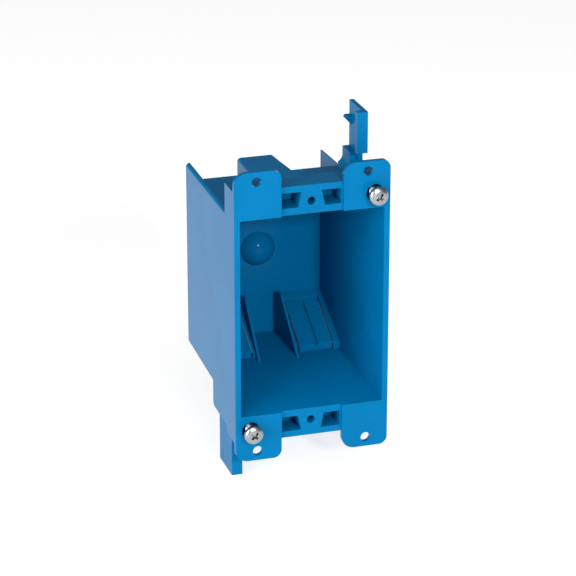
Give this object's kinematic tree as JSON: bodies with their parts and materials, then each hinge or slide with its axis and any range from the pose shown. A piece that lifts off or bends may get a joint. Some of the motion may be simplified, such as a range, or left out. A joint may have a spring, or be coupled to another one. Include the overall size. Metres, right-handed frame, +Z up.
{
  "type": "outlet box",
  "caption": "Deep single-gang wall box for old work with plaster ears, sloping cable flaps at the back, and swing clamps drawn up by screws from the front.",
  "frame": {"origin": "middle of the opening, on the wall plane where the backs of the ears rest", "axes": "+X to the right seen from the front, +Y into the wall, +Z up; the front of the box faces -Y"},
  "size_m": [0.0572, 0.0752, 0.1344],
  "materials": {
    "box_plastic": "azure moulded plastic with a fine matt grain on the front and a gloss on the sides",
    "clamp_plastic": "the same azure moulded plastic",
    "screw_steel": "bright zinc plating"
  },
  "bodies": {
    "box": {"box_body": "box_plastic"},
    "upper_screw": {"upper_clamp_screw": "screw_steel"},
    "upper_arm": {"upper_clamp": "clamp_plastic"},
    "lower_screw": {"lower_clamp_screw": "screw_steel"},
    "lower_arm": {"lower_clamp": "clamp_plastic"}
  },
  "joints": [
    {"name": "upper_swing", "type": "hinge", "parent": "box", "child": "upper_screw", "pos_m": [0.0229, 0, 0.0426], "axis": [0, -1, 0], "range_deg": [0, 90]},
    {"name": "upper_draw", "type": "slide", "parent": "upper_screw", "child": "upper_arm", "axis": [0, 1, 0], "range_m": [-0.003, 0.008]},
    {"name": "lower_swing", "type": "hinge", "parent": "box", "child": "lower_screw", "pos_m": [-0.0229, 0, -0.0426], "axis": [0, -1, 0], "range_deg": [0, 90]},
    {"name": "lower_draw", "type": "slide", "parent": "lower_screw", "child": "lower_arm", "axis": [0, 1, 0], "range_m": [-0.003, 0.008]}
  ]
}
